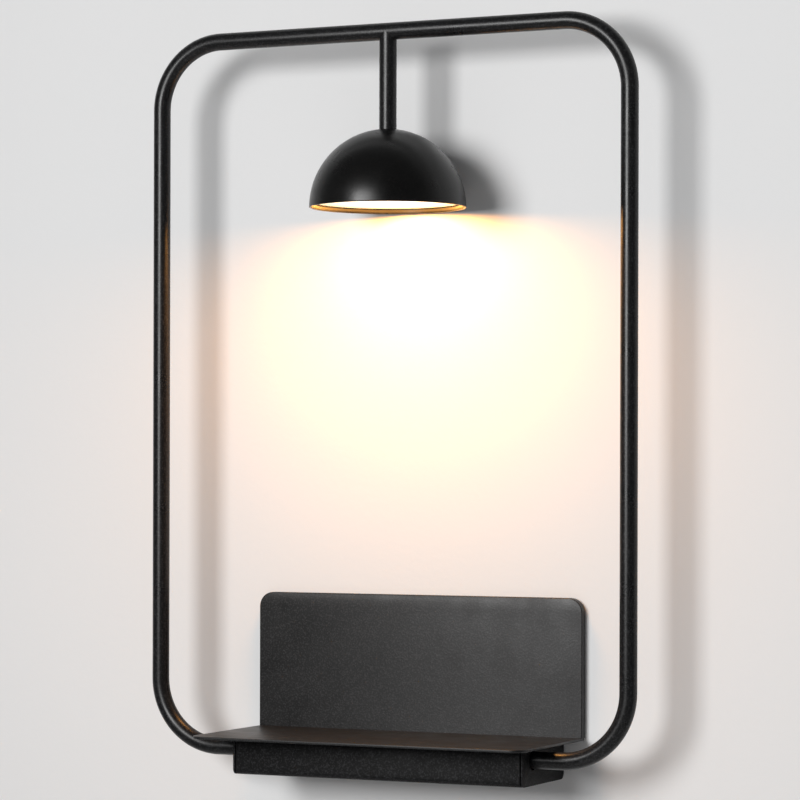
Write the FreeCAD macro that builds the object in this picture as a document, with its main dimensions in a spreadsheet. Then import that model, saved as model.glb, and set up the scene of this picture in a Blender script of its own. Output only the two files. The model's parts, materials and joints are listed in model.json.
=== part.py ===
import FreeCAD, Part
import math
import os
import re
import Sketcher

# Wall lamp with a shelf: a bent tube frame carries a dome shade on a short stem and passes
# through a flat housing under a small shelf. Millimetres, X to the right, Y into the wall,
# Z up. The origin is midway between the two wall screws, on the wall's face.

doc = FreeCAD.newDocument("wall_lamp")
sheet = doc.addObject("Spreadsheet::Sheet", "Sizes")

SIZES = {
    # frame
    "tube_diameter": 12.7,
    "tube_wall": 1,
    "frame_width": 390.7,
    "frame_height": 540.7,
    "frame_forward": 60,
    "frame_drop": 68.35,
    "bend_radius": 50,
    "joint_gap": 1,
    "sleeve_length": 50,
    "sleeve_wall": 1,
    # shelf and upright cover
    "shelf_width": 265,
    "shelf_front": 120,
    "shelf_drop": 50,
    "shelf_sheet": 2,
    "wall_gap": 2,
    "corner_round": 11,
    "edge_round": 0.4,
    "cover_height": 102,
    "cover_front": 7,
    "cover_back": 1,
    "cover_sheet": 1.5,
    "cover_bend": 1,
    # housing under the shelf
    "housing_width": 233,
    "housing_front": 79.5,
    "housing_drop": 80.5,
    "housing_sheet": 1.5,
    "seam": 0.8,
    "front_round": 4,
    "rear_round": 5,
    "outer_bend": 4,
    "tube_hole": 14.6,
    "flange_reach": 12,
    "flange_start": 71,
    "flange_end": 12,
    "cover_screw_inset": 7.5,
    "cover_screw_front": 56,
    "cover_screw_rear": 20,
    "front_gap": 0.3,
    "rear_gap": 0.5,
    # screws and their holes
    "small_screw": 3,
    "small_clear": 3.4,
    "small_head": 5.5,
    "small_head_rise": 1.8,
    "cover_screw_length": 5,
    "large_screw": 4,
    "large_clear": 4.5,
    "large_head": 7,
    "large_head_rise": 2.2,
    "fixing_screw_length": 7,
    # wall bracket and hanging rail
    "bracket_width": 200,
    "bracket_sheet": 1.5,
    "bracket_top": 29,
    "hook_top": 41,
    "hook_width": 190,
    "hook_lap": 1.5,
    "slot_spacing": 160,
    "slot_width": 4.8,
    "slot_length": 12,
    "tab_width": 20,
    "tab_reach": 14,
    "tab_screw_forward": 8,
    "entry_diameter": 16,
    "entry_left": 62,
    "entry_drop": 66,
    "grommet_lip": 2,
    "grommet_bore": 9.6,
    "grommet_rise": 0.5,
    "rail_width": 180,
    "rail_sheet": 1,
    "rail_low": 30,
    "tongue_low": 33,
    "tongue_gap": 0.4,
    # lamp head
    "dome_diameter": 115,
    "dome_wall": 1.5,
    "rim_height": 337,
    "rim_round": 0.5,
    "seat_sink": 0.36,
    "recess": 3.8,
    "diffuser_radius": 54.7,
    "diffuser_plate": 2,
    "diffuser_lip": 0.9,
    "diffuser_rise": 4.5,
    "reflector_sheet": 1,
    "reflector_mouth": 19.5,
    "reflector_flange": 25.4,
    "reflector_edge": 5,
    "reflector_slant": 0.5,
    "sink_height": 366,
    "sink_radius": 32,
    "sink_plate": 6,
    "hub_radius": 9,
    "hub_rise": 6,
    "board_radius": 26,
    "board_sheet": 1.6,
    "chip_ring": 15,
    "chip_width": 2.8,
    "chip_length": 3.5,
    "chip_rise": 0.7,
    "led_screw_ring": 22.5,
    "led_screw_length": 7,
    "nipple_diameter": 8,
    "nipple_bore": 5.5,
    "nipple_low": 368,
    "nipple_top": 407,
    "nipple_clearance": 0.1,
    "bush_length": 15,
    "washer_sheet": 1,
    "washer_diameter": 16,
    "washer_sink": 0.6,
    "nut_flats": 13,
    "nut_height": 4,
    # tube clamps
    "clamp_place": 95,
    "clamp_width": 12,
    "clamp_sheet": 1.2,
    "clamp_foot": 10,
    "stud_offset": 12,
    "stud_diameter": 4,
    "stud_nut_flats": 7,
    "stud_nut_height": 3.2,
    "stud_length": 8,
    "stud_over_block": 5,
    "stud_clearance": 0.4,
    # driver, terminal block and wiring
    "driver_left": 45,
    "driver_right": 55,
    "driver_front": 50,
    "driver_rear": 12,
    "driver_height": 21,
    "driver_round": 2,
    "foam_sheet": 2,
    "foam_margin": 4,
    "block_left": 98,
    "block_length": 18,
    "block_front": 40,
    "block_rear": 12,
    "block_height": 15,
    "pole_spacing": 10,
    "pole_bore": 4,
    "pole_margin": 4,
    "pole_screw": 3,
    "pole_screw_clear": 3.2,
    "pole_screw_inset": 0.5,
    "wire_drop": 58,
    "wire_diameter": 2.2,
    "wire_start": 6,
    "earth_left": 56,
    "earth_forward": 16,
    "earth_bend": 6,
    "earth_level": 12,
    "earth_slope": 6,
    "lug_sheet": 0.8,
    "lug_barrel": 5,
    "lug_barrel_diameter": 3.4,
    "lug_ring": 8,
    "lug_neck": 4.6,
    "lug_drop": 1.8,
    "cable_diameter": 4,
    "cable_bend": 8,
    "cable_exit": 66,
    "cable_exit_shift": 0.4,
    "cable_turn": 30,
    "wire_hole": 9,
}

# Places worked out from the sizes above.
PLACES = {
    "frame_plane": "-frame_forward",
    "base_run": "tube_diameter / 2 - frame_drop",
    "top_run": "frame_height - frame_drop - tube_diameter / 2",
    "side_run": "(frame_width - tube_diameter) / 2",
    "tube_bore": "tube_diameter - 2 * tube_wall",
    "shelf_top": "-shelf_drop",
    "shelf_under": "-shelf_drop - shelf_sheet",
    "cover_top": "cover_height - shelf_drop",
    "floor_top": "housing_sheet - housing_drop",
    "end_inside": "housing_width / 2 - housing_sheet",
    "hook_front": "-2 * bracket_sheet",
    "rail_face": "cover_sheet - cover_front",
    "dome_radius": "dome_diameter / 2",
    "dome_inside": "dome_diameter / 2 - dome_wall",
    "seat_height": "rim_height + dome_diameter / 2 - seat_sink",
    "diffuser_low": "rim_height + recess",
    "diffuser_top": "rim_height + recess + diffuser_plate",
    "lip_inside": "diffuser_radius - diffuser_lip",
    "board_low": "sink_height - board_sheet",
    "flange_low": "sink_height - board_sheet - reflector_sheet",
    "hub_top": "sink_height + sink_plate + hub_rise",
    "washer_low": "rim_height + dome_inside - washer_sheet - washer_sink",
    "foot_low": "shelf_under - clamp_sheet",
    "driver_top": "shelf_under - foam_sheet",
    "block_low": "shelf_under - block_height",
    "lug_height": "shelf_under - lug_drop",
    "lug_end": "-earth_left - lug_barrel - lug_neck",
}

NAME = re.compile(r"[A-Za-z_]\w*")
POLES = ("live", "neutral", "earth")
LED_COUNT = 12
# a screw's socket as a share of its head's width and depth
SOCKET_WIDTH = 0.45
SOCKET_DEPTH = 0.6


def size(formula):
    """The formula with every place written out and every size pointing at the sheet."""
    def expand(match):
        word = match.group(0)
        if word in PLACES:
            return "(" + size(PLACES[word]) + ")"
        return "Sizes." + word if word in SIZES else word
    return NAME.sub(expand, str(formula))


def value(formula):
    """The number that a formula comes to with the sheet's present sizes."""
    return float(doc.probe.evalExpression(size(formula)))


def fill_sheet():
    """Write each driving size into the sheet beside its name."""
    for row, (alias, number) in enumerate(SIZES.items(), start=1):
        sheet.set(f"A{row}", alias.replace("_", " "))
        sheet.set(f"B{row}", str(number))
        sheet.setAlias(f"B{row}", alias)
    doc.addObject("App::FeaturePython", "probe")
    doc.recompute()


def bind(item, **formulas):
    """Bind properties to formulas; a double underscore stands for the dot of a sub-property."""
    for prop, formula in formulas.items():
        item.setExpression(prop.replace("__", "."), size(formula))


def at(item, x, y, z):
    """Bind an item's position."""
    bind(item, Placement__Base__x=x, Placement__Base__y=y, Placement__Base__z=z)


def turn(item, axis):
    """Turn an upright cylinder or prism so that it points along the given axis."""
    turns = {"x": ((0, 1, 0), 90), "y": ((1, 0, 0), -90), "z": ((0, 0, 1), 0)}
    direction, angle = turns[axis]
    item.Placement.Rotation = FreeCAD.Rotation(FreeCAD.Vector(*direction), angle)


# ---------------------------------------------------------------- sketches and solid features

def new_body(label):
    body = doc.addObject("PartDesign::Body", label)
    body.Label = label
    return body


def sketch_on(body, plane, place="0"):
    """A sketch on an origin plane, moved to a place along the axis that crosses the plane."""
    role = {"XY": "XY_Plane", "XZ": "XZ_Plane", "YZ": "YZ_Plane"}[plane]
    support = [item for item in body.Origin.OriginFeatures if item.Role == role][0]
    sketch = body.newObject("Sketcher::SketchObject", "sketch")
    sketch.AttachmentSupport = [(support, "")]
    sketch.MapMode = "FlatFace"
    # the XZ plane faces the front, so its offset runs the other way to Y
    offset = f"-({place})" if plane == "XZ" else place
    bind(sketch, AttachmentOffset__Base__z=offset)
    return sketch


def hold(sketch, kind, geometry, point, formula):
    """Hold one coordinate of a sketch point at a formula."""
    rule = Sketcher.Constraint(kind, -1, 1, geometry, point, value(formula))
    sketch.setExpression(f"Constraints[{sketch.addConstraint(rule)}]", size(formula))


def outline(sketch, corners):
    """A closed outline of straight sides, with each corner held by two formulas."""
    first = sketch.GeometryCount
    points = [FreeCAD.Vector(value(x), value(y), 0) for x, y in corners]
    count = len(points)
    for index in range(count):
        sketch.addGeometry(Part.LineSegment(points[index], points[(index + 1) % count]))
    for index, (x, y) in enumerate(corners):
        before = first + (index - 1) % count
        sketch.addConstraint(Sketcher.Constraint("Coincident", first + index, 1, before, 2))
        hold(sketch, "DistanceX", first + index, 1, x)
        hold(sketch, "DistanceY", first + index, 1, y)


def circle(sketch, x, y, diameter):
    centre = FreeCAD.Vector(value(x), value(y), 0)
    round_line = Part.Circle(centre, FreeCAD.Vector(0, 0, 1), value(diameter) / 2)
    index = sketch.addGeometry(round_line)
    hold(sketch, "DistanceX", index, 3, x)
    hold(sketch, "DistanceY", index, 3, y)
    rule = sketch.addConstraint(Sketcher.Constraint("Diameter", index, value(diameter)))
    sketch.setExpression(f"Constraints[{rule}]", size(diameter))


def pad(body, sketch, length):
    feature = body.newObject("PartDesign::Pad", "pad")
    feature.Profile = sketch
    bind(feature, Length=length)
    body.Tip = feature
    doc.recompute()
    return feature


def plate(label, x, y, z):
    """A flat plate between two X, two Y and two Z places."""
    body = new_body(label)
    sketch = sketch_on(body, "XY", z[0])
    outline(sketch, [(x[0], y[0]), (x[1], y[0]), (x[1], y[1]), (x[0], y[1])])
    pad(body, sketch, f"({z[1]}) - ({z[0]})")
    return body


def add_block(body, x, y, z, kind="Additive"):
    """Add or cut a rectangular block between two X, two Y and two Z places."""
    block = body.newObject(f"PartDesign::{kind}Box", "block")
    block.MapMode = "Deactivated"
    bind(block, Length=f"({x[1]}) - ({x[0]})", Width=f"({y[1]}) - ({y[0]})",
         Height=f"({z[1]}) - ({z[0]})")
    at(block, x[0], y[0], z[0])
    body.Tip = block
    doc.recompute()


def cut_block(body, x, y, z):
    add_block(body, x, y, z, kind="Subtractive")


def add_rod(body, x, y, z, diameter, length, axis, kind="Additive"):
    """Add or cut a cylinder that starts at a point and runs along an axis."""
    item = body.newObject(f"PartDesign::{kind}Cylinder", "rod")
    item.MapMode = "Deactivated"
    turn(item, axis)
    bind(item, Radius=f"({diameter}) / 2", Height=length)
    at(item, x, y, z)
    body.Tip = item
    doc.recompute()


def drill(body, x, y, z, diameter, depth, axis):
    """Drill from a point along an axis, and check that the drill removed metal."""
    before = body.Tip.Shape.Volume
    add_rod(body, x, y, z, diameter, depth, axis, kind="Subtractive")
    if body.Tip.Shape.Volume > before - 0.01:
        raise ValueError(f"a hole in {body.Label} cuts nothing")


def round_off(body, radius, *points):
    """Round the edges of the body that pass through the given points."""
    base = body.Tip
    names = []
    for point in points:
        spot = Part.Vertex(FreeCAD.Vector(*[value(part) for part in point]))
        near = [edge.distToShape(spot)[0] < 0.01 for edge in base.Shape.Edges]
        names += [f"Edge{index}" for index, hit in enumerate(near, start=1) if hit]
    feature = body.newObject("PartDesign::Fillet", "rounding")
    feature.Base = (base, names)
    bind(feature, Radius=radius)
    body.Tip = feature
    doc.recompute()


def turned(label, profile):
    """A part turned about the lamp's own upright axis, from a half section of (radius, Z)."""
    body = new_body(label)
    sketch = sketch_on(body, "XZ", "frame_plane")
    outline(sketch, profile)
    spin(body, sketch)
    return body


def spin(body, sketch):
    feature = body.newObject("PartDesign::Revolution", "revolution")
    feature.Profile = sketch
    feature.ReferenceAxis = (sketch, ["V_Axis"])
    feature.Angle = 360
    body.Tip = feature
    doc.recompute()


# ---------------------------------------------------------------- small solids and groups

def rod(x, y, z, diameter, length, axis="z"):
    item = doc.addObject("Part::Cylinder", "rod")
    turn(item, axis)
    bind(item, Radius=f"({diameter}) / 2", Height=length)
    at(item, x, y, z)
    return item


def hexagon(x, y, z, flats, height):
    item = doc.addObject("Part::Prism", "hexagon")
    item.Polygon = 6
    bind(item, Circumradius=f"({flats}) / sqrt(3)", Height=height)
    at(item, x, y, z)
    return item


def cut(base, tool):
    item = doc.addObject("Part::Cut", "cut")
    item.Base = base
    item.Tool = tool
    return item


def join(first, second):
    item = doc.addObject("Part::Fuse", "join")
    item.Base = first
    item.Tool = second
    return item


def named(item, label):
    item.Label = label
    return item


def group(label, items):
    """Several like solids that share one node."""
    compound = doc.addObject("Part::Compound", label)
    compound.Links = items
    return named(compound, label)


def nut(x, y, z, flats, height, bore):
    return cut(hexagon(x, y, z, flats, height), rod(x, y, z, bore, height))


def upward_screw(x, y, head_low, head, shank):
    """A flat-headed socket screw driven upwards: head and shank are (diameter, length)."""
    head_rod = rod(x, y, head_low, head[0], head[1])
    shank_rod = rod(x, y, f"({head_low}) + {head[1]}", shank[0], shank[1])
    socket = hexagon(x, y, head_low, f"{SOCKET_WIDTH} * {head[0]}", f"{SOCKET_DEPTH} * {head[1]}")
    return cut(join(head_rod, shank_rod), socket)


def small_screw(x, y, seat, length):
    """A small screw whose head lies under the given seat."""
    return upward_screw(x, y, f"{seat} - small_head_rise", ("small_head", "small_head_rise"),
                        ("small_screw", length))


# ---------------------------------------------------------------- frame and stem

def rounded_path(sketch, corners, radius):
    """Upright and level runs between corners, joined by tangent quarter bends."""
    spots = [(value(x), value(y)) for x, y in corners]
    bend = value(radius)
    runs = []
    for index in range(len(corners) - 1):
        (x0, y0), (x1, y1) = spots[index], spots[index + 1]
        level = abs(y0 - y1) < 1e-6
        sign = math.copysign(1, x1 - x0 if level else y1 - y0)
        ends = []
        for corner, way, is_end in ((index, sign, index == 0),
                                    (index + 1, -sign, index == len(corners) - 2)):
            x, y = corners[corner]
            shift = "" if is_end else f" + ({way:.0f}) * ({radius})"
            ends.append((f"({x}){shift}", y) if level else (x, f"({y}){shift}"))
        runs.append(ends)
    for start, end in runs:
        points = [FreeCAD.Vector(value(x), value(y), 0) for x, y in (start, end)]
        line = sketch.addGeometry(Part.LineSegment(*points))
        for point, (x, y) in ((1, start), (2, end)):
            hold(sketch, "DistanceX", line, point, x)
            hold(sketch, "DistanceY", line, point, y)
    for index in range(len(runs) - 1):
        tail = FreeCAD.Vector(value(runs[index][1][0]), value(runs[index][1][1]), 0)
        nose = FreeCAD.Vector(*[value(part) for part in runs[index + 1][0]], 0)
        corner = FreeCAD.Vector(*spots[index + 1], 0)
        centre = tail + nose - corner
        turn_angles = sorted([math.atan2((p - centre).y, (p - centre).x) for p in (tail, nose)])
        if turn_angles[1] - turn_angles[0] > math.pi:
            turn_angles = [turn_angles[1], turn_angles[0] + 2 * math.pi]
        arc = Part.ArcOfCircle(Part.Circle(centre, FreeCAD.Vector(0, 0, 1), bend), *turn_angles)
        number = sketch.addGeometry(arc)
        starts_at_tail = (arc.StartPoint - tail).Length < 1e-6
        ends = (1, 2) if starts_at_tail else (2, 1)
        sketch.addConstraint(Sketcher.Constraint("Coincident", number, ends[0], index, 2))
        sketch.addConstraint(Sketcher.Constraint("Coincident", number, ends[1], index + 1, 1))
        rule = sketch.addConstraint(Sketcher.Constraint("Radius", number, bend))
        sketch.setExpression(f"Constraints[{rule}]", size(radius))


def frame_tube():
    """One steel tube bent round four corners; its ends meet inside the housing."""
    body = new_body("frame_tube")
    path = sketch_on(body, "XZ", "frame_plane")
    rounded_path(path, [("joint_gap / 2", "base_run"), ("side_run", "base_run"),
                        ("side_run", "top_run"), ("-(side_run)", "top_run"),
                        ("-(side_run)", "base_run"), ("-joint_gap / 2", "base_run")],
                 "bend_radius")
    ring = sketch_on(body, "YZ", "joint_gap / 2")
    circle(ring, "frame_plane", "base_run", "tube_diameter")
    circle(ring, "frame_plane", "base_run", "tube_bore")
    doc.recompute()
    pipe = body.newObject("PartDesign::AdditivePipe", "pipe")
    pipe.Profile = ring
    pipe.Spine = (path, [])
    body.Tip = pipe
    doc.recompute()
    drill(body, 0, "frame_plane", "top_run - tube_diameter", "wire_hole", "tube_diameter", "z")
    drill(body, "cable_exit + cable_exit_shift", "frame_plane", "base_run", "wire_hole",
          "tube_diameter", "y")
    return body


def ring_tube(label, x, y, z, outer, inner, length, axis):
    """A straight tube, cut from two cylinders."""
    return named(cut(rod(x, y, z, outer, length, axis), rod(x, y, z, inner, length, axis)), label)


def drop_stem():
    """Short tube under the top run, its upper end coped to the round of the frame."""
    body = new_body("drop_stem")
    ring = sketch_on(body, "XY", "seat_height")
    circle(ring, 0, "frame_plane", "tube_diameter")
    circle(ring, 0, "frame_plane", "tube_bore")
    pad(body, ring, "top_run - seat_height")
    drill(body, "-tube_diameter", "frame_plane", "top_run", "tube_diameter",
          "2 * tube_diameter", "x")
    return body


# ---------------------------------------------------------------- lamp head

def dome_height(outside, radius):
    """Height of the dome's outer or inner surface at a distance from its axis."""
    return f"rim_height + sqrt(({outside}) ^ 2 - ({radius}) ^ 2)"


def shade_dome():
    """Spun half sphere with a small flat seat and a hole for the nipple at its top."""
    body = new_body("shade_dome")
    sketch = sketch_on(body, "XZ", "frame_plane")
    hole = "nipple_diameter / 2 + nipple_clearance"
    seat = "sqrt(dome_radius ^ 2 - (seat_height - rim_height) ^ 2)"
    corners = [("dome_radius", "rim_height"), (seat, "seat_height"), (hole, "seat_height"),
               (hole, dome_height("dome_inside", hole)), ("dome_inside", "rim_height")]
    points = [FreeCAD.Vector(value(x), value(y), 0) for x, y in corners]
    centre = FreeCAD.Vector(0, value("rim_height"), 0)

    def quarter(radius, low, high):
        angles = [math.atan2((p - centre).y, (p - centre).x) for p in (low, high)]
        face = Part.Circle(centre, FreeCAD.Vector(0, 0, 1), radius)
        return Part.ArcOfCircle(face, *angles)

    sketch.addGeometry(quarter(value("dome_radius"), points[0], points[1]))
    sketch.addGeometry(Part.LineSegment(points[1], points[2]))
    sketch.addGeometry(Part.LineSegment(points[2], points[3]))
    sketch.addGeometry(quarter(value("dome_inside"), points[4], points[3]))
    sketch.addGeometry(Part.LineSegment(points[4], points[0]))
    for pair in ((0, 2, 1, 1), (1, 2, 2, 1), (2, 2, 3, 2), (3, 1, 4, 1), (4, 2, 0, 1)):
        sketch.addConstraint(Sketcher.Constraint("Coincident", *pair))
    sketch.addConstraint(Sketcher.Constraint("Coincident", 0, 3, 3, 3))
    hold(sketch, "DistanceX", 0, 3, 0)
    hold(sketch, "DistanceY", 0, 3, "rim_height")
    for line, point, corner in ((4, 2, 0), (1, 2, 2), (4, 1, 4)):
        hold(sketch, "DistanceX", line, point, corners[corner][0])
        hold(sketch, "DistanceY", line, point, corners[corner][1])
    hold(sketch, "DistanceY", 1, 1, corners[1][1])
    hold(sketch, "DistanceX", 2, 2, corners[3][0])
    doc.recompute()
    spin(body, sketch)
    round_off(body, "rim_round", ("dome_radius", "frame_plane", "rim_height"))
    return body


def opal_diffuser():
    """Opal cup: a flat disc whose short lip snaps over the reflector's edge."""
    body = turned("opal_diffuser", [
        (0, "diffuser_low"), ("diffuser_radius", "diffuser_low"),
        ("diffuser_radius", "diffuser_top + diffuser_rise"),
        ("lip_inside", "diffuser_top + diffuser_rise"),
        ("lip_inside", "diffuser_top"), (0, "diffuser_top")])
    round_off(body, "diffuser_lip", ("diffuser_radius", "frame_plane", "diffuser_low"))
    return body


def led_screw_spots():
    """The three places where the board and the reflector are screwed to the heat sink."""
    for index in range(3):
        angle = 90 + 120 * index
        yield (f"led_screw_ring * cos({angle})", f"frame_plane + led_screw_ring * sin({angle})")


def reflector():
    """White cone from the board's flange down to the edge that the diffuser grips."""
    edge = "diffuser_top + reflector_edge"
    body = turned("reflector", [
        ("reflector_mouth", "flange_low"), ("reflector_flange", "flange_low"),
        ("lip_inside - reflector_sheet", edge), ("lip_inside - reflector_sheet", "diffuser_top"),
        ("lip_inside", "diffuser_top"), ("lip_inside", f"{edge} + reflector_slant"),
        ("reflector_flange + reflector_slant", "board_low"), ("reflector_mouth", "board_low")])
    for x, y in led_screw_spots():
        drill(body, x, y, "flange_low - reflector_sheet", "small_clear", "3 * reflector_sheet", "z")
    return body


def heat_sink():
    """Turned aluminium disc with a threaded hub that hangs on the nipple."""
    body = turned("heat_sink", [
        ("nipple_diameter / 2", "sink_height"), ("sink_radius", "sink_height"),
        ("sink_radius", "sink_height + sink_plate"), ("hub_radius", "sink_height + sink_plate"),
        ("hub_radius", "hub_top"), ("nipple_diameter / 2", "hub_top")])
    for x, y in led_screw_spots():
        drill(body, x, y, "sink_height", "small_screw", "sink_plate", "z")
    return body


def led_board():
    """Round metal-core board under the heat sink."""
    body = new_body("led_board")
    sketch = sketch_on(body, "XY", "board_low")
    circle(sketch, 0, "frame_plane", "2 * board_radius")
    pad(body, sketch, "board_sheet")
    for x, y in led_screw_spots():
        drill(body, x, y, "board_low", "small_clear", "board_sheet", "z")
    return body


def led_chips():
    """Small light sources in a ring on the board's underside."""
    chips = []
    for index in range(LED_COUNT):
        angle = (index + 0.5) * 360 / LED_COUNT
        chip = doc.addObject("Part::Box", "chip")
        bind(chip, Length="chip_length", Width="chip_width", Height="chip_rise")
        at(chip, f"chip_ring * cos({angle}) - chip_length / 2",
           f"frame_plane + chip_ring * sin({angle}) - chip_width / 2", "board_low - chip_rise")
        chips.append(chip)
    return group("led_chips", chips)


def lamp_head():
    """The shade and everything that hangs in it from the hollow nipple."""
    washer = ring_tube("dome_washer", 0, "frame_plane", "washer_low", "washer_diameter",
                       "nipple_diameter", "washer_sheet", "z")
    screws = [small_screw(x, y, "flange_low", "led_screw_length") for x, y in led_screw_spots()]
    return [
        shade_dome(),
        ring_tube("stem_nipple", 0, "frame_plane", "nipple_low", "nipple_diameter",
                  "nipple_bore", "nipple_top - nipple_low", "z"),
        ring_tube("stem_bush", 0, "frame_plane", "seat_height", "tube_bore", "nipple_diameter",
                  "bush_length", "z"),
        washer,
        named(nut(0, "frame_plane", "washer_low - nut_height", "nut_flats", "nut_height",
                  "nipple_diameter"), "dome_nut"),
        named(nut(0, "frame_plane", "hub_top", "nut_flats", "nut_height", "nipple_diameter"),
              "sink_lock_nut"),
        heat_sink(), led_board(), led_chips(), reflector(), group("led_screws", screws),
        opal_diffuser(),
    ]


# ---------------------------------------------------------------- shelf, cover and housing

def shelf_plate():
    """Flat steel shelf with rounded front corners."""
    half = "shelf_width / 2"
    body = plate("shelf_plate", (f"-{half}", half), ("-shelf_front", "-wall_gap"),
                 ("shelf_under", "shelf_top"))
    middle = "shelf_top - shelf_sheet / 2"
    round_off(body, "corner_round", (f"-{half}", "-shelf_front", middle),
              (half, "-shelf_front", middle))
    round_off(body, "edge_round", (0, "-shelf_front", "shelf_top"))
    return body


def back_cover():
    """Shallow folded tray that stands on the shelf and hides the wall bracket."""
    half = "shelf_width / 2"
    inside = f"({half} - cover_sheet)"
    body = plate("back_cover", (f"-{half}", half), ("-cover_front", "-cover_back"),
                 ("shelf_top", "cover_top"))
    cut_block(body, (f"-{inside}", inside), ("rail_face", "-cover_back"),
              ("shelf_top", "cover_top - cover_sheet"))
    middle = "(rail_face - cover_back) / 2"
    round_off(body, "corner_round - cover_sheet", (f"-{inside}", middle, "cover_top - cover_sheet"),
              (inside, middle, "cover_top - cover_sheet"))
    round_off(body, "corner_round", (f"-{half}", middle, "cover_top"), (half, middle, "cover_top"))
    round_off(body, "cover_bend", (0, "-cover_front", "cover_top"))
    return body


def end_plate(label, side):
    """End of the housing, with the hole for the tube and a flange for the floor's screws."""
    outer, inner = ("-housing_width / 2", "-end_inside") if side < 0 else ("end_inside",
                                                                          "housing_width / 2")
    body = plate(label, (outer, inner), ("-housing_front", "-wall_gap"),
                 ("-housing_drop", "shelf_under"))
    middle = f"{side} * (housing_width - housing_sheet) / 2"
    round_off(body, "front_round", (middle, "-housing_front", "-housing_drop"))
    round_off(body, "rear_round", (middle, "-wall_gap", "-housing_drop"))
    drill(body, f"{side} * housing_width / 2 - housing_sheet * 2", "frame_plane", "base_run",
          "tube_hole", "4 * housing_sheet", "x")
    flange = ("-end_inside", "flange_reach - end_inside")
    if side > 0:
        flange = ("end_inside - flange_reach", "end_inside")
    add_block(body, flange, ("-flange_start", "-flange_end"),
              ("floor_top", "floor_top + housing_sheet"))
    for forward in ("cover_screw_front", "cover_screw_rear"):
        drill(body, f"{side} * (end_inside - cover_screw_inset)", f"-{forward}",
              "floor_top", "small_screw", "housing_sheet", "z")
    return body


def housing_cover():
    """Front and floor of the housing in one folded sheet, between the end plates."""
    body = new_body("housing_cover")
    half = "(end_inside - seam)"
    profile = sketch_on(body, "YZ", f"-{half}")
    inner = "housing_sheet - housing_front"
    top, rear = "shelf_under - front_gap", "-wall_gap - rear_gap"
    outline(profile, [("-housing_front", top), (inner, top), (inner, "floor_top"),
                      (rear, "floor_top"), (rear, "-housing_drop"),
                      ("-housing_front", "-housing_drop")])
    pad(body, profile, f"2 * {half}")
    round_off(body, "outer_bend", (0, "-housing_front", "-housing_drop"))
    round_off(body, "outer_bend - housing_sheet", (0, inner, "floor_top"))
    for side in (-1, 1):
        for forward in ("cover_screw_front", "cover_screw_rear"):
            drill(body, f"{side} * (end_inside - cover_screw_inset)", f"-{forward}",
                  "-housing_drop", "small_clear", "housing_sheet", "z")
        drill(body, f"{side} * slot_spacing / 2", "-tab_screw_forward", "-housing_drop",
              "large_clear", "housing_sheet", "z")
    return body


def cover_screws():
    """Four screws from below that hold the folded cover to the end plates."""
    spots = [(f"{side} * (end_inside - cover_screw_inset)", f"-{forward}")
             for side in (-1, 1) for forward in ("cover_screw_front", "cover_screw_rear")]
    return group("cover_screws", [
        small_screw(x, y, "-housing_drop", "cover_screw_length") for x, y in spots])


def fixing_screws():
    """Two screws from below that lock the lamp to the tabs of the wall bracket."""
    return group("fixing_screws", [
        upward_screw(f"{side} * slot_spacing / 2", "-tab_screw_forward",
                     "-housing_drop - large_head_rise", ("large_head", "large_head_rise"),
                     ("large_screw", "fixing_screw_length")) for side in (-1, 1)])


# ---------------------------------------------------------------- wall bracket and rail

def wall_bracket():
    """Plate screwed to the wall: a raised hook strip above, two threaded tabs below."""
    half = "bracket_width / 2"
    body = plate("wall_bracket", (f"-{half}", half), ("-bracket_sheet", 0),
                 ("floor_top", "bracket_top"))
    hook = "hook_width / 2"
    add_block(body, (f"-{hook}", hook), ("hook_front", "-bracket_sheet"),
              ("bracket_top - hook_lap", "hook_top"))
    for side in (-1, 1):
        middle = f"{side} * slot_spacing / 2"
        add_block(body, (f"{middle} - tab_width / 2", f"{middle} + tab_width / 2"),
                  ("-tab_reach", "-bracket_sheet"), ("floor_top", "floor_top + bracket_sheet"))
        drill(body, middle, "-tab_screw_forward", "floor_top", "large_screw", "bracket_sheet",
              "z")
        reach = "(slot_length - slot_width) / 2"
        cut_block(body, (f"{middle} - {reach}", f"{middle} + {reach}"), ("-bracket_sheet", 0),
                  ("-slot_width / 2", "slot_width / 2"))
        for way in (-1, 1):
            drill(body, f"{middle} + {way} * {reach}", "-bracket_sheet", 0, "slot_width",
                  "bracket_sheet", "y")
    drill(body, "-entry_left", "-bracket_sheet", "-entry_drop", "entry_diameter",
          "bracket_sheet", "y")
    return body


def cable_grommet():
    """Rubber ring in the bracket's cable entry."""
    sleeve = rod("-entry_left", "-2 * bracket_sheet", "-entry_drop", "entry_diameter",
                 "2 * bracket_sheet", "y")
    lip = rod("-entry_left", "-2 * bracket_sheet - grommet_rise", "-entry_drop",
              "entry_diameter + 2 * grommet_lip", "bracket_sheet + grommet_rise", "y")
    bore = rod("-entry_left", "-3 * bracket_sheet", "-entry_drop", "grommet_bore",
               "3 * bracket_sheet", "y")
    return named(cut(join(sleeve, lip), bore), "cable_grommet")


def hanging_rail():
    """Folded strip inside the cover; its tongue drops behind the bracket's hook strip."""
    body = new_body("hanging_rail")
    profile = sketch_on(body, "YZ", "-rail_width / 2")
    front, tongue = "rail_face", "-tongue_gap - rail_sheet"
    outline(profile, [(front, "rail_low"), (f"{front} + rail_sheet", "rail_low"),
                      (f"{front} + rail_sheet", "hook_top"), (tongue, "hook_top"),
                      (tongue, "tongue_low"), ("-tongue_gap", "tongue_low"),
                      ("-tongue_gap", "hook_top + rail_sheet"),
                      (front, "hook_top + rail_sheet")])
    pad(body, profile, "rail_width")
    return body


# ---------------------------------------------------------------- clamps under the shelf

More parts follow.
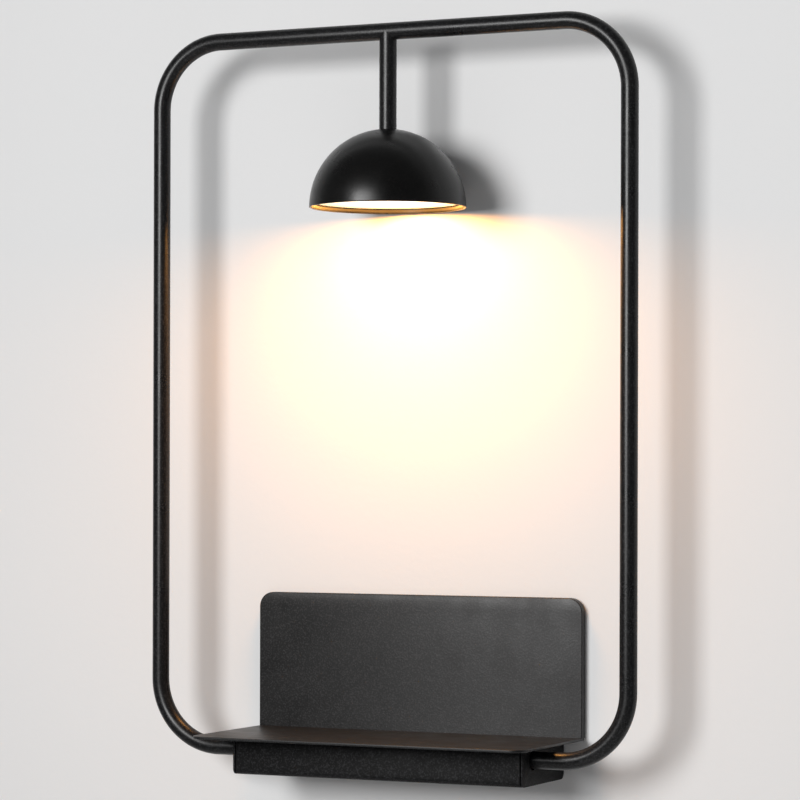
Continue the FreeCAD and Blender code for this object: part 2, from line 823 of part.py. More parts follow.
def tube_clamp(label, side):
    """Folded strap that holds the frame's lower run up against its pad."""
    wide = "(tube_diameter / 2 + clamp_sheet)"
    foot = f"({wide} + clamp_foot)"
    middle = f"{side} * clamp_place"
    ends = (f"{middle} - clamp_width / 2", f"{middle} + clamp_width / 2")
    body = plate(label, ends, (f"frame_plane - {foot}", f"frame_plane + {foot}"),
                 ("foot_low", "shelf_under"))
    add_block(body, ends, (f"frame_plane - {wide}", f"frame_plane + {wide}"),
              ("base_run", "shelf_under"))
    add_rod(body, ends[0], "frame_plane", "base_run", f"2 * {wide}", "clamp_width", "x")
    drill(body, ends[0], "frame_plane", "base_run", "tube_diameter", "clamp_width", "x")
    cut_block(body, ends, ("frame_plane - tube_diameter / 2", "frame_plane + tube_diameter / 2"),
              ("base_run", "shelf_under"))
    for way in (-1, 1):
        drill(body, middle, f"frame_plane + {way} * stud_offset", "foot_low",
              "stud_diameter + stud_clearance", "clamp_sheet", "z")
    return body


def tube_pad(label, side):
    """Bed between the tube and the shelf, hollowed to the tube's round."""
    block = doc.addObject("Part::Box", "bed")
    bind(block, Length="clamp_width", Width="tube_diameter", Height="shelf_under - base_run")
    start = f"{side} * clamp_place - clamp_width / 2"
    at(block, start, "frame_plane - tube_diameter / 2", "base_run")
    hollow = rod(start, "frame_plane", "base_run", "tube_diameter", "clamp_width", "x")
    return named(cut(block, hollow), label)


def stud_spots():
    """Studs under the shelf: (x, y, length, thickness of what the nut holds)."""
    spots = [(f"{side} * clamp_place", f"frame_plane + {way} * stud_offset", "stud_length",
              "clamp_sheet") for side in (-1, 1) for way in (-1, 1)]
    spots.append(("block_length / 2 - block_left", pole_place(0.5),
                  "block_height + stud_over_block", "block_height"))
    spots.append(("-earth_left", "-earth_forward", "stud_length", "lug_sheet"))
    return spots


def weld_studs():
    return group("weld_studs", [rod(x, y, f"shelf_under - ({length})", "stud_diameter", length)
                                for x, y, length, held in stud_spots()])


def stud_nuts():
    return group("stud_nuts", [nut(x, y, f"shelf_under - ({held}) - stud_nut_height",
                                   "stud_nut_flats", "stud_nut_height", "stud_diameter")
                               for x, y, length, held in stud_spots()])


# ---------------------------------------------------------------- driver and wiring

def driver_case():
    """Plastic case of the light's driver."""
    body = plate("driver_case", ("-driver_left", "driver_right"),
                 ("-driver_front", "-driver_rear"), ("driver_top - driver_height", "driver_top"))
    middle = "driver_top - driver_height / 2"
    round_off(body, "driver_round", *[(x, y, middle) for x in ("-driver_left", "driver_right")
                                      for y in ("-driver_front", "-driver_rear")])
    return body


def driver_pad():
    """Foam pad that sticks the driver to the shelf's underside."""
    margin = "foam_margin"
    return plate("driver_pad", (f"{margin} - driver_left", f"driver_right - {margin}"),
                 (f"{margin} - driver_front", f"-driver_rear - {margin}"),
                 ("driver_top", "shelf_under"))


def pole_place(index):
    """Distance of a terminal from the front of the block to the back."""
    return f"-(block_front - pole_margin - {index} * pole_spacing)"


def terminal_block():
    """Three-pole block with a wire bore and two screw bores for each pole."""
    body = plate("terminal_block", ("-block_left", "block_length - block_left"),
                 ("-block_front", "-block_rear"), ("block_low", "shelf_under"))
    for index in range(len(POLES)):
        drill(body, "-block_left", pole_place(index), "-wire_drop", "pole_bore",
              "block_length", "x")
        for x in terminal_screw_places():
            drill(body, x, pole_place(index), "block_low", "pole_screw_clear",
                  "-wire_drop - block_low", "z")
    x, y, length, held = stud_spots()[4]
    drill(body, x, y, "block_low", "stud_diameter + stud_clearance", "block_height", "z")
    return body


def terminal_screw_places():
    return ("pole_margin - block_left", "block_length - pole_margin - block_left")


def terminal_screws():
    """Grub screws that clamp the wires from below."""
    low = "block_low + pole_screw_inset"
    length = f"-wire_drop - wire_diameter / 2 - ({low})"
    return group("terminal_screws", [rod(x, pole_place(index), low, "pole_screw", length)
                                     for index in range(len(POLES))
                                     for x in terminal_screw_places()])


def route(start, bends, end):
    """Straight runs through the bends' corners, each joined by its own tangent arc."""
    def spot(point):
        return FreeCAD.Vector(*[value(part) for part in point])

    corners = [spot(start)] + [spot(corner) for corner, radius in bends] + [spot(end)]
    edges = []
    here = corners[0]
    for index, (point, radius) in enumerate(bends, start=1):
        corner, bend = corners[index], value(radius)
        back = (corners[index - 1] - corner).normalize()
        ahead = (corners[index + 1] - corner).normalize()
        half = back.getAngle(ahead) / 2
        reach = bend / math.tan(half)
        centre = corner + (back + ahead).normalize() * (bend / math.sin(half))
        middle = centre + (corner - centre).normalize() * bend
        first, last = corner + back * reach, corner + ahead * reach
        edges.append(Part.LineSegment(here, first).toShape())
        edges.append(Part.Arc(first, middle, last).toShape())
        here = last
    edges.append(Part.LineSegment(here, corners[-1]).toShape())
    return Part.Wire(edges)


def wire(label, diameter, start, bends, end):
    """An insulated lead of round section along its route."""
    path = route(start, bends, end)
    radius = value(diameter) / 2
    first = path.Edges[0]
    section = Part.Wire(Part.makeCircle(radius, first.valueAt(first.FirstParameter),
                                        first.tangentAt(first.FirstParameter)))
    item = doc.addObject("Part::Feature", label)
    item.Shape = path.makePipeShell([section], True, False)
    if abs(item.Shape.Volume / (path.Length * math.pi * radius ** 2) - 1) > 0.01:
        raise ValueError(f"{label} has lost its section")
    return named(item, label)


def led_cable():
    """Two-core lead from the board, through stem and frame, to the driver."""
    return wire("led_cable", "cable_diameter", (0, "frame_plane", "sink_height"), [
        ((0, "frame_plane", "top_run"), "cable_bend"),
        (("side_run", "frame_plane", "top_run"), "bend_radius"),
        (("side_run", "frame_plane", "base_run"), "bend_radius"),
        (("cable_exit", "frame_plane", "base_run"), "cable_bend"),
        (("cable_exit", "-cable_turn", "base_run"), "cable_bend"),
    ], ("driver_right", "-cable_turn", "base_run"))


def link_wires():
    """Short leads from the terminals to the driver and to the earth stud."""
    start = "wire_start - block_left"
    leads = [wire(f"{name}_wire", "wire_diameter", (start, pole_place(index), "-wire_drop"), [],
                  ("-driver_left", pole_place(index), "-wire_drop"))
             for index, name in enumerate(POLES[:2])]
    place = pole_place(2)
    leads.append(wire("earth_wire", "wire_diameter", (start, place, "-wire_drop"), [
        (("lug_end - earth_level", place, "-wire_drop"), "earth_bend"),
        (("lug_end - earth_slope", place, "lug_height"), "earth_bend"),
    ], ("lug_end", place, "lug_height")))
    return leads


def earth_lug():
    """Ring terminal on the earth stud, with its crimped barrel."""
    place = ("-earth_left", "-earth_forward", "shelf_under - lug_sheet")
    neck = doc.addObject("Part::Box", "neck")
    bind(neck, Length="lug_neck + lug_barrel", Width="lug_barrel_diameter", Height="lug_sheet")
    at(neck, "lug_end", "-earth_forward - lug_barrel_diameter / 2", "shelf_under - lug_sheet")
    ring = cut(join(rod(*place, "lug_ring", "lug_sheet"), neck),
               rod(*place, "stud_diameter", "lug_sheet"))
    barrel = rod("lug_end", "-earth_forward", "lug_height", "lug_barrel_diameter",
                 "lug_barrel", "x")
    return named(join(ring, barrel), "earth_lug")


# ---------------------------------------------------------------- the whole lamp

fill_sheet()
nodes = [
    frame_tube(),
    ring_tube("joint_sleeve", "-sleeve_length / 2", "frame_plane", "base_run", "tube_bore",
              "tube_bore - 2 * sleeve_wall", "sleeve_length", "x"),
    drop_stem(), *lamp_head(),
    shelf_plate(), back_cover(), hanging_rail(),
    end_plate("end_plate_left", -1), end_plate("end_plate_right", 1), housing_cover(),
    cover_screws(), wall_bracket(), cable_grommet(), fixing_screws(),
    tube_clamp("tube_clamp_left", -1), tube_clamp("tube_clamp_right", 1),
    tube_pad("tube_pad_left", -1), tube_pad("tube_pad_right", 1), weld_studs(), stud_nuts(),
    driver_case(), driver_pad(), terminal_block(), terminal_screws(),
    *link_wires(), earth_lug(), led_cable(),
]
doc.recompute()

for item in doc.Objects:
    if "Invalid" in item.State or "Error" in item.State:
        raise ValueError(f"{item.Label} failed: {item.State}")

os.makedirs("parts", exist_ok=True)
for node in nodes:
    if node.Shape.isNull() or not node.Shape.isValid():
        raise ValueError(f"{node.Label} has no valid shape")
    node.Shape.exportStep(f"parts/{node.Label}.step")
    print(f"{node.Label:20s} {len(node.Shape.Solids):3d} solids {node.Shape.Volume:12.1f} mm3")
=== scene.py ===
import json
import math

import bmesh
import bpy
from mathutils import Matrix, Vector


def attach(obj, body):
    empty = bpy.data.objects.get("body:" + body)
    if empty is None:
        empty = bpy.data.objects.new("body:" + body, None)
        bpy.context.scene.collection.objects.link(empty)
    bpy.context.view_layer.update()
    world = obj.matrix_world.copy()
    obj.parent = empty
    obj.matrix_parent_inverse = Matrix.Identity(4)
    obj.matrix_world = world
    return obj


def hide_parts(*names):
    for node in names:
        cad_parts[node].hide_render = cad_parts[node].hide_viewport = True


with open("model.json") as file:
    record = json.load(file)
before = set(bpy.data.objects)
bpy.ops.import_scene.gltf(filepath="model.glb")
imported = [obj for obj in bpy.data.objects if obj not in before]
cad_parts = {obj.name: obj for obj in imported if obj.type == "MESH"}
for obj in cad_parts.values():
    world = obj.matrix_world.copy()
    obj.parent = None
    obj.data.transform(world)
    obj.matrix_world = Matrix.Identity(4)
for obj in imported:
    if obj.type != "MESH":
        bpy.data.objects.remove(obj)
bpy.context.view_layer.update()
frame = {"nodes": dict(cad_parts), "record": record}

# ------------------------------------------------------------------ camera
# The photograph's viewpoint: level, well to the lamp's right, between the height of the shelf
# and that of the shade, through a long lens.
camera = bpy.data.objects.new("camera", bpy.data.cameras.new("camera"))
camera.data.lens = 140.9
camera.data.sensor_width = 36
camera.data.shift_y = 0.0902
camera.location = (0.9824, -2.1283, 0.1437)
camera.rotation_euler = (math.radians(90), math.radians(-0.15), math.radians(25.168))
bpy.context.scene.collection.objects.link(camera)
bpy.context.scene.camera = camera

# ------------------------------------------------------------------ wall, floor and lights
# A painted wall close behind the lamp's bracket and a pale floor far under it. Both let the
# camera through from behind, so the lamp's back can be seen.
sheet_width = 5.0
wall_gap, wall_middle = 0.0003, 0.6
floor_drop = 1.2


def stage_paint(name, colour):
    """Matt wall paint with a faint roller texture, seen from its front only."""
    paint = bpy.data.materials.new(name)
    paint.use_nodes = True
    nodes, links = paint.node_tree.nodes, paint.node_tree.links
    shader = nodes["Principled BSDF"]
    shader.inputs["Base Color"].default_value = (*colour, 1)
    shader.inputs["Roughness"].default_value = 0.9
    shader.inputs["Specular IOR Level"].default_value = 0.1
    place = nodes.new("ShaderNodeTexCoord")
    roller = nodes.new("ShaderNodeTexNoise")
    roller.inputs["Scale"].default_value = 160
    roller.inputs["Detail"].default_value = 4
    relief = nodes.new("ShaderNodeBump")
    relief.inputs["Strength"].default_value = 0.12
    relief.inputs["Distance"].default_value = 0.001
    links.new(place.outputs["Object"], roller.inputs["Vector"])
    links.new(roller.outputs["Fac"], relief.inputs["Height"])
    links.new(relief.outputs["Normal"], shader.inputs["Normal"])
    side = nodes.new("ShaderNodeNewGeometry")
    clear = nodes.new("ShaderNodeBsdfTransparent")
    either = nodes.new("ShaderNodeMixShader")
    links.new(side.outputs["Backfacing"], either.inputs["Fac"])
    links.new(shader.outputs["BSDF"], either.inputs[1])
    links.new(clear.outputs["BSDF"], either.inputs[2])
    links.new(either.outputs["Shader"], nodes["Material Output"].inputs["Surface"])
    return paint


def stage_sheet(name, place, paint):
    """A large flat sheet of the set, facing along its own Z."""
    sheet = bmesh.new()
    bmesh.ops.create_grid(sheet, x_segments=1, y_segments=1, size=sheet_width / 2, matrix=place)
    mesh = bpy.data.meshes.new(name)
    sheet.to_mesh(mesh)
    sheet.free()
    mesh.materials.append(paint)
    made = bpy.data.objects.new(name, mesh)
    bpy.context.scene.collection.objects.link(made)


facing_front = Matrix.Rotation(math.radians(90), 4, "X")
stage_sheet("wall", Matrix.Translation((0, wall_gap, wall_middle)) @ facing_front,
            stage_paint("wall_paint", (0.74, 0.74, 0.74)))
stage_sheet("floor", Matrix.Translation((0, -sheet_width / 2, -floor_drop)),
            stage_paint("floor_paint", (0.72, 0.72, 0.72)))

# The room's own light is dim and comes from all round.
world = bpy.data.worlds.new("room")
world.use_nodes = True
world.node_tree.nodes["Background"].inputs["Color"].default_value = (0.97, 0.98, 1.0, 1)
world.node_tree.nodes["Background"].inputs["Strength"].default_value = 0.16
bpy.context.scene.world = world

# The key is a soft box in front of the lamp, to its left and above, turned to light the wall
# evenly; it throws the tubes' soft shadows to the right.
key = bpy.data.objects.new("key", bpy.data.lights.new("key", "AREA"))
key.data.shape = "RECTANGLE"
key.data.size = 1.02
key.data.size_y = 0.78
key.data.energy = 48
key.location = (-0.395, -2.16, 0.56)
key_aim = Vector((1.5, 0, 0.1))
key.rotation_euler = (key_aim - key.location).to_track_quat("-Z", "Y").to_euler()
bpy.context.scene.collection.objects.link(key)

# ------------------------------------------------------------------ frame
# One steel tube, 12.7 mm across, bent round four corners of 50 mm and powder-coated black.
# Its two ends meet over a sleeve inside the housing.
tube_radius, tube_bore_radius = 0.00635, 0.00535
frame_y = -0.060
low_run, top_run, side_run = -0.062, 0.466, 0.189
bend_radius = 0.050
half_joint_gap = 0.0005
tube_facets, bend_steps = 56, 28
sharp_from = math.radians(32)
facing_side = Matrix.Rotation(math.radians(90), 4, "Y")
to_viewer = (0, -1, 0)


def points_of(made):
    """The vertices among what an operator made."""
    return [part for part in made if isinstance(part, bmesh.types.BMVert)]


def edges_of(made):
    """The edges among what an operator made."""
    return [part for part in made if isinstance(part, bmesh.types.BMEdge)]


def tube_end(bm, radius, place):
    """A ring across a tube; gives its edges."""
    ring = bmesh.ops.create_circle(bm, segments=tube_facets, radius=radius, matrix=place)
    return list(dict.fromkeys(edge for vert in ring["verts"] for edge in vert.link_edges))


def swept_ring(bm, radius):
    """A ring carried round the frame's whole path; gives its first and last edges."""
    start = Matrix.Translation((half_joint_gap, frame_y, low_run)) @ facing_side
    first = tube_end(bm, radius, start)
    far, low, high = side_run - bend_radius, low_run + bend_radius, top_run - bend_radius
    runs = [((far - half_joint_gap, 0, 0), (far, low)), ((0, 0, high - low), (far, high)),
            ((-2 * far, 0, 0), (-far, high)), ((0, 0, low - high), (-far, low)),
            ((far - half_joint_gap, 0, 0), None)]
    edges = first
    for run, centre in runs:
        ahead = bmesh.ops.extrude_edge_only(bm, edges=edges)["geom"]
        bmesh.ops.translate(bm, vec=run, verts=points_of(ahead))
        edges = edges_of(ahead)
        if centre:
            bend = bmesh.ops.spin(bm, geom=edges, cent=(centre[0], frame_y, centre[1]),
                                  axis=to_viewer, angle=math.radians(90), steps=bend_steps)
            edges = edges_of(bend["geom_last"])
    return first, edges


def powder_coat(name, colour, roughness, gloss_level, relief_strength):
    """Baked powder coat: a finely pebbled skin with a scatter of slightly paler grains."""
    coat = bpy.data.materials.new(name)
    coat.use_nodes = True
    nodes, links = coat.node_tree.nodes, coat.node_tree.links
    shader = nodes["Principled BSDF"]
    shader.inputs["Specular IOR Level"].default_value = gloss_level
    place = nodes.new("ShaderNodeTexCoord")
    grains = nodes.new("ShaderNodeTexNoise")
    grains.inputs["Scale"].default_value = 900
    grains.inputs["Detail"].default_value = 2
    flow = nodes.new("ShaderNodeTexNoise")
    flow.inputs["Scale"].default_value = 45
    flow.inputs["Detail"].default_value = 3
    shade = nodes.new("ShaderNodeValToRGB")
    shade.color_ramp.elements[0].position = 0.48
    shade.color_ramp.elements[0].color = (*[c * 0.6 for c in colour], 1)
    shade.color_ramp.elements[1].position = 0.72
    shade.color_ramp.elements[1].color = (*[c * 5 for c in colour], 1)
    gloss = nodes.new("ShaderNodeMapRange")
    gloss.inputs["From Min"].default_value = 0.3
    gloss.inputs["From Max"].default_value = 0.7
    gloss.inputs["To Min"].default_value = roughness - 0.05
    gloss.inputs["To Max"].default_value = roughness + 0.05
    relief = nodes.new("ShaderNodeBump")
    relief.inputs["Strength"].default_value = relief_strength
    relief.inputs["Distance"].default_value = 0.0002
    for noise in (grains, flow):
        links.new(place.outputs["Object"], noise.inputs["Vector"])
    links.new(grains.outputs["Fac"], shade.inputs["Fac"])
    links.new(shade.outputs["Color"], shader.inputs["Base Color"])
    links.new(flow.outputs["Fac"], gloss.inputs["Value"])
    links.new(gloss.outputs["Result"], shader.inputs["Roughness"])
    links.new(grains.outputs["Fac"], relief.inputs["Height"])
    links.new(relief.outputs["Normal"], shader.inputs["Normal"])
    return coat


def finish_piece(name, bm, material, nodes):
    """A finished piece of the lamp, which stands for its CAD nodes."""
    bmesh.ops.recalc_face_normals(bm, faces=bm.faces)
    mesh = bpy.data.meshes.new(name)
    bm.to_mesh(mesh)
    bm.free()
    mesh.polygons.foreach_set("use_smooth", [True] * len(mesh.polygons))
    mesh.set_sharp_from_angle(angle=sharp_from)
    mesh.materials.append(material)
    made = bpy.data.objects.new(name, mesh)
    bpy.context.scene.collection.objects.link(made)
    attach(made, "root")
    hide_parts(*nodes)


coat_black = (0.005, 0.005, 0.0053)
frame_coat = powder_coat("frame_coat", coat_black, 0.31, 0.28, 0.2)
tube = bmesh.new()
outside = swept_ring(tube, tube_radius)
inside = swept_ring(tube, tube_bore_radius)
for outer_end, inner_end in zip(outside, inside):
    bmesh.ops.bridge_loops(tube, edges=outer_end + inner_end)
finish_piece("bent_frame", tube, frame_coat, ["frame_tube"])

# ------------------------------------------------------------------ stem
# A short tube from the frame's top run down to the shade. Its upper end is coped to the
# round of the frame and welded all round, then dressed and coated with the frame.
seat_height = 0.39414
stem = bmesh.new()
ends = []
for radius in (tube_radius, tube_bore_radius):
    low_end = tube_end(stem, radius, Matrix.Translation((0, frame_y, seat_height)))
    rise = bmesh.ops.extrude_edge_only(stem, edges=low_end)["geom"]
    for vert in points_of(rise):
        across = min(abs(vert.co.y - frame_y), tube_radius)
        vert.co.z = top_run - math.sqrt(tube_radius ** 2 - across ** 2)
    ends.append((low_end, edges_of(rise)))
for outer_end, inner_end in zip(*ends):
    bmesh.ops.bridge_loops(stem, edges=outer_end + inner_end)
finish_piece("drop_tube", stem, frame_coat, ["drop_stem"])

# ------------------------------------------------------------------ shade
# Half sphere spun from 1.5 mm sheet, with a small flat seat for the stem and a rim that is
# dressed round. Satin black outside and in, its black painted darker than the frame's as painted
# shade.
shade_radius, shade_sheet = 0.0575, 0.0015
rim_height = 0.337
rim_round = 0.0006
nipple_hole = 0.0041
arc_steps, turn_steps = 40, 128
closeness = 1e-6


def round_corners(bm, corners, radius, segments):
    """Round the given corners of a flat outline."""
    bmesh.ops.bevel(bm, geom=corners, offset=radius, segments=segments, profile=0.5,
                    affect="VERTICES", material=-1)


def turn_round_stem(bm):
    """Spin an outline once round the stem's axis into a closed shape."""
    bmesh.ops.spin(bm, geom=bm.verts[:] + bm.edges[:], cent=(0, frame_y, 0), axis=(0, 0, 1),
                   angle=math.radians(360), steps=turn_steps, use_merge=True)
    bmesh.ops.remove_doubles(bm, verts=bm.verts, dist=closeness)


shade = bmesh.new()
rim_centre = Vector((0, frame_y, rim_height))
inner_radius = shade_radius - shade_sheet
inner_top = rim_height + math.sqrt(inner_radius ** 2 - nipple_hole ** 2)
profile_ends = []
for radius, top in ((shade_radius, seat_height), (inner_radius, inner_top)):
    start = shade.verts.new(rim_centre + Vector((radius, 0, 0)))
    arc = bmesh.ops.spin(shade, geom=[start], cent=rim_centre, axis=to_viewer,
                         angle=math.asin((top - rim_height) / radius), steps=arc_steps)
    profile_ends.append((start, points_of(arc["geom_last"])[0]))
(rim_out, crown_out), (rim_in, crown_in) = profile_ends
hole_edge = shade.verts.new((nipple_hole, frame_y, seat_height))
for pair in ((crown_out, hole_edge), (hole_edge, crown_in), (rim_out, rim_in)):
    shade.edges.new(pair)
round_corners(shade, [rim_out, rim_in], rim_round, segments=4)
turn_round_stem(shade)
# Painted shade: this coat's black is far darker than the frame's coat, to darken the dome.
shade_coat = powder_coat("shade_coat", (0.0008, 0.0007, 0.0006), 0.30, 0.32, 0.12)
finish_piece("shade", shade, shade_coat, ["shade_dome"])

# ------------------------------------------------------------------ diffuser
# Opal disc that closes the shade almost 4 mm above its rim. The board behind it lights its
# middle most, and it grows warmer towards the edge.
opal_radius, opal_low, opal_plate = 0.0547, 0.3408, 0.002
opal_lip, opal_rise = 0.0009, 0.0045
opal_top = opal_low + opal_plate


def lit_opal():
    """Milky plastic that glows from behind."""
    opal = bpy.data.materials.new("lit_opal")
    opal.use_nodes = True
    nodes, links = opal.node_tree.nodes, opal.node_tree.links
    shader = nodes["Principled BSDF"]
    shader.inputs["Roughness"].default_value = 0.45
    shader.inputs["Emission Strength"].default_value = 1.0
    place = nodes.new("ShaderNodeTexCoord")
    centre = nodes.new("ShaderNodeMapping")
    centre.inputs["Location"].default_value = (0, -frame_y / opal_radius, -opal_low / opal_radius)
    centre.inputs["Scale"].default_value = (1 / opal_radius,) * 3
    radial = nodes.new("ShaderNodeTexGradient")
    radial.gradient_type = "SPHERICAL"
    glow = nodes.new("ShaderNodeValToRGB")
    glow.color_ramp.interpolation = "EASE"
    glow.color_ramp.elements[0].position = 0.0
    glow.color_ramp.elements[0].color = (0.70, 0.50, 0.22, 1)
    glow.color_ramp.elements[1].position = 0.50
    glow.color_ramp.elements[1].color = (1.4, 1.3, 1.15, 1)
    between = glow.color_ramp.elements.new(0.30)
    between.color = (0.85, 0.74, 0.48, 1)
    grain = nodes.new("ShaderNodeTexNoise")
    grain.inputs["Scale"].default_value = 300
    milk = nodes.new("ShaderNodeValToRGB")
    milk.color_ramp.elements[0].color = (0.88, 0.86, 0.80, 1)
    milk.color_ramp.elements[1].color = (0.94, 0.93, 0.88, 1)
    links.new(place.outputs["Object"], centre.inputs["Vector"])
    links.new(centre.outputs["Vector"], radial.inputs["Vector"])
    links.new(radial.outputs["Fac"], glow.inputs["Fac"])
    links.new(glow.outputs["Color"], shader.inputs["Emission Color"])
    links.new(place.outputs["Object"], grain.inputs["Vector"])
    links.new(grain.outputs["Fac"], milk.inputs["Fac"])
    links.new(milk.outputs["Color"], shader.inputs["Base Color"])
    return opal


diffuser = bmesh.new()
section = [(0, opal_low), (opal_radius, opal_low), (opal_radius, opal_top + opal_rise),
           (opal_radius - opal_lip, opal_top + opal_rise), (opal_radius - opal_lip, opal_top),
           (0, opal_top)]
turns = [diffuser.verts.new((radius, frame_y, height)) for radius, height in section]
for first, second in zip(turns, turns[1:]):
    diffuser.edges.new((first, second))
round_corners(diffuser, [turns[1]], opal_lip, segments=5)
turn_round_stem(diffuser)
finish_piece("opal_disc", diffuser, lit_opal(), ["opal_diffuser"])

# The light that leaves the disc, evenly over its face. It is far warmer than the room's.
lamp_colour = (1.0, 0.42, 0.08)
lamp_power = 1.17
lamp_gap = 0.0004
light = bpy.data.lights.new("disc_light", "AREA")
light.shape = "DISK"
light.size = 2 * (opal_radius - opal_lip)
light.energy = lamp_power
light.color = lamp_colour
lamp = bpy.data.objects.new("disc_light", light)
lamp.location = (0, frame_y, opal_low - lamp_gap)
lamp.visible_camera = False
bpy.context.scene.collection.objects.link(lamp)

# ------------------------------------------------------------------ shelf
# Laser-cut steel plate, 2 mm thick, its front corners rounded and its edges lightly broken
# before coating.
shelf_half, shelf_front, shelf_back = 0.1325, -0.120, -0.002
shelf_top, shelf_sheet = -0.050, 0.002
corner_round, broken_edge = 0.011, 0.0004
square_from = math.radians(60)


def push_out(bm, push):
    """Give a flat outline its thickness or length."""
    pushed = bmesh.ops.extrude_face_region(bm, geom=bm.faces[:])["geom"]
    bmesh.ops.translate(bm, vec=push, verts=points_of(pushed))
    bmesh.ops.recalc_face_normals(bm, faces=bm.faces)


def rounded_plate(bm, corners, rounded, push):
    """A flat plate from its corners: the numbered ones rounded, then pushed to its thickness."""
    verts = [bm.verts.new(corner) for corner in corners]
    bm.faces.new(verts)
    round_corners(bm, [verts[index] for index in rounded], corner_round, segments=12)
    push_out(bm, push)


def break_edges(bm, radius, segments=3, chosen=lambda edge: True):
    """Round the square edges of a piece that the given test chooses."""
    square = [edge for edge in bm.edges if len(edge.link_faces) == 2
              and edge.calc_face_angle() > square_from and chosen(edge)]
    bmesh.ops.bevel(bm, geom=square, offset=radius, segments=segments, profile=0.5,
                    affect="EDGES", material=-1)


shelf_outline = [(across, depth, shelf_top) for across, depth in (
    (-shelf_half, shelf_front), (shelf_half, shelf_front),
    (shelf_half, shelf_back), (-shelf_half, shelf_back))]
shelf = bmesh.new()
rounded_plate(shelf, shelf_outline, (0, 1), (0, 0, -shelf_sheet))
break_edges(shelf, broken_edge)
sheet_coat = powder_coat("sheet_coat", coat_black, 0.42, 0.33, 0.3)
finish_piece("shelf", shelf, sheet_coat, ["shelf_plate"])

# ------------------------------------------------------------------ upright
# Shallow folded tray behind the shelf: a face with rounded top corners and a narrow return
# to the wall along its sides and top. It hides the bracket.
upright_top, upright_front, upright_back = 0.052, -0.007, -0.001
upright_sheet, upright_fold = 0.0015, 0.0006
face_outline = [(across, upright_front, height) for across, height in (
    (-shelf_half, shelf_top), (shelf_half, shelf_top),
    (shelf_half, upright_top), (-shelf_half, upright_top))]
tray = bmesh.new()
rounded_plate(tray, face_outline, (2, 3), (0, upright_back - upright_front, 0))
hollow = [face for face in tray.faces
          if all(abs(v.co.y - upright_back) < closeness for v in face.verts)
          or all(abs(v.co.z - shelf_top) < closeness for v in face.verts)]
bmesh.ops.delete(tray, geom=hollow, context="FACES")
bmesh.ops.solidify(tray, geom=tray.faces[:], thickness=upright_sheet)
break_edges(tray, upright_fold, 4, lambda edge: (
    all(abs(v.co.y - upright_front) < closeness for v in edge.verts)
    and any(v.co.z > shelf_top + closeness for v in edge.verts)))
finish_piece("upright", tray, sheet_coat, ["back_cover"])

# ------------------------------------------------------------------ housing
# Flat box under the shelf. One folded sheet makes its front and floor; an end plate closes
# each side and has the hole that the frame's tube comes out of.
housing_half, housing_front, housing_low = 0.1165, -0.0795, -0.0805
housing_sheet, seam, shelf_under = 0.0015, 0.0008, shelf_top - shelf_sheet
cover_half = housing_half - housing_sheet - seam
cover_gap, cover_back = 0.0003, -0.0025
cover_top = shelf_under - cover_gap
outer_bend, inner_bend = 0.004, 0.0025
cut_edge = 0.00025
housing_coat = powder_coat("housing_coat", (0.005, 0.005, 0.0053), 0.58, 0.16, 0.45)
folded = bmesh.new()
in_front, in_floor = housing_front + housing_sheet, housing_low + housing_sheet
corners = [folded.verts.new((-cover_half, y, z)) for y, z in (
    (housing_front, cover_top), (in_front, cover_top), (in_front, in_floor),
    (cover_back, in_floor), (cover_back, housing_low), (housing_front, housing_low))]
folded.faces.new(corners)
for corner, bend in ((corners[2], inner_bend), (corners[5], outer_bend)):
    round_corners(folded, [corner], bend, segments=6)
push_out(folded, (2 * cover_half, 0, 0))
break_edges(folded, cut_edge, 2)
finish_piece("housing_front", folded, housing_coat, ["housing_cover"])

# The two end plates are cut from sheet, with their lower corners rounded. The hole leaves
# almost 1 mm round the tube.
front_round, rear_round, tube_hole_radius = 0.004, 0.005, 0.0073
for side, node in ((-1, "end_plate_left"), (1, "end_plate_right")):
    end = bmesh.new()
    outer_x = side * housing_half
    outline = [end.verts.new((outer_x, y, z)) for y, z in (
        (housing_front, shelf_under), (shelf_back, shelf_under),
        (shelf_back, housing_low), (housing_front, housing_low))]
    for first, second in zip(outline, outline[1:] + outline[:1]):
        end.edges.new((first, second))
    for corner, radius in ((outline[2], rear_round), (outline[3], front_round)):
        round_corners(end, [corner], radius, segments=8)
    hole_place = Matrix.Translation((outer_x, frame_y, low_run)) @ facing_side
    bmesh.ops.create_circle(end, segments=40, radius=tube_hole_radius, matrix=hole_place)
    bmesh.ops.triangle_fill(end, use_beauty=True, edges=end.edges[:])
    push_out(end, (-side * housing_sheet, 0, 0))
    break_edges(end, cut_edge, 2)
    finish_piece("housing_" + node, end, housing_coat, [node])

# ------------------------------------------------------------------ what is kept from the CAD
# Pressed, turned and moulded pieces that sit inside or behind the lamp, each with the finish
# of its own material.


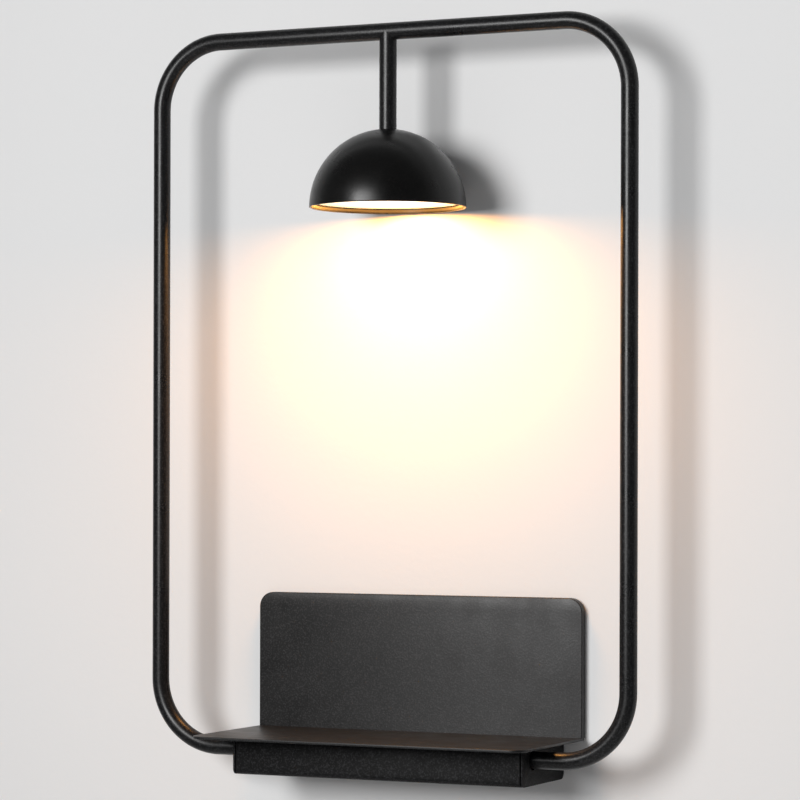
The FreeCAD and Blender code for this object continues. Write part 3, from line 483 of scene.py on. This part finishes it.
def workshop_finish(name, colour, roughness, scale, metallic=0.0, stretch=(1, 1, 1)):
    """A plain stock material with slight cloudiness and fine surface relief."""
    stock = bpy.data.materials.new(name)
    stock.use_nodes = True
    nodes, links = stock.node_tree.nodes, stock.node_tree.links
    shader = nodes["Principled BSDF"]
    shader.inputs["Metallic"].default_value = metallic
    place = nodes.new("ShaderNodeTexCoord")
    draw = nodes.new("ShaderNodeMapping")
    draw.inputs["Scale"].default_value = stretch
    cloud = nodes.new("ShaderNodeTexNoise")
    cloud.inputs["Scale"].default_value = scale
    cloud.inputs["Detail"].default_value = 4
    shade = nodes.new("ShaderNodeValToRGB")
    shade.color_ramp.elements[0].position = 0.3
    shade.color_ramp.elements[0].color = (*[c * 0.85 for c in colour], 1)
    shade.color_ramp.elements[1].position = 0.7
    shade.color_ramp.elements[1].color = (*[min(c * 1.12, 1) for c in colour], 1)
    gloss = nodes.new("ShaderNodeMapRange")
    gloss.inputs["To Min"].default_value = roughness - 0.08
    gloss.inputs["To Max"].default_value = roughness + 0.08
    relief = nodes.new("ShaderNodeBump")
    relief.inputs["Strength"].default_value = 0.1
    relief.inputs["Distance"].default_value = 0.0001
    links.new(place.outputs["Object"], draw.inputs["Vector"])
    links.new(draw.outputs["Vector"], cloud.inputs["Vector"])
    links.new(cloud.outputs["Fac"], shade.inputs["Fac"])
    links.new(shade.outputs["Color"], shader.inputs["Base Color"])
    links.new(cloud.outputs["Fac"], gloss.inputs["Value"])
    links.new(gloss.outputs["Result"], shader.inputs["Roughness"])
    links.new(cloud.outputs["Fac"], relief.inputs["Height"])
    links.new(relief.outputs["Normal"], shader.inputs["Normal"])
    return stock


stock_finishes = {
    "zinc_steel": workshop_finish("zinc_steel", (0.60, 0.61, 0.62), 0.38, 120, 1.0, (1, 1, 6)),
    "sink_aluminium": workshop_finish("sink_aluminium", (0.80, 0.81, 0.82), 0.35, 200, 1.0),
    "brass_thread": workshop_finish("brass_thread", (0.75, 0.55, 0.25), 0.32, 150, 1.0),
    "reflector_white": workshop_finish("reflector_white", (0.85, 0.85, 0.83), 0.5, 90),
    "board_white": workshop_finish("board_white", (0.82, 0.83, 0.80), 0.4, 250),
    "chip_yellow": workshop_finish("chip_yellow", (0.85, 0.66, 0.16), 0.35, 400),
    "driver_white": workshop_finish("driver_white", (0.78, 0.78, 0.76), 0.5, 220),
    "foam_grey": workshop_finish("foam_grey", (0.07, 0.07, 0.075), 0.9, 700),
    "pad_rubber": workshop_finish("pad_rubber", (0.018, 0.018, 0.018), 0.75, 500),
    "block_white": workshop_finish("block_white", (0.74, 0.74, 0.70), 0.45, 220),
    "wire_brown": workshop_finish("wire_brown", (0.12, 0.05, 0.02), 0.45, 300),
    "wire_blue": workshop_finish("wire_blue", (0.03, 0.10, 0.45), 0.45, 300),
    "wire_green": workshop_finish("wire_green", (0.16, 0.38, 0.04), 0.45, 300),
    "cable_black": workshop_finish("cable_black", (0.02, 0.02, 0.02), 0.5, 300),
}
for subpart in frame["record"]["subparts"]:
    if subpart["material_slot"] in stock_finishes:
        node = frame["nodes"][subpart["node"]]
        node.data.materials.clear()
        node.data.materials.append(stock_finishes[subpart["material_slot"]])

bpy.context.scene.view_settings.view_transform = "Standard"
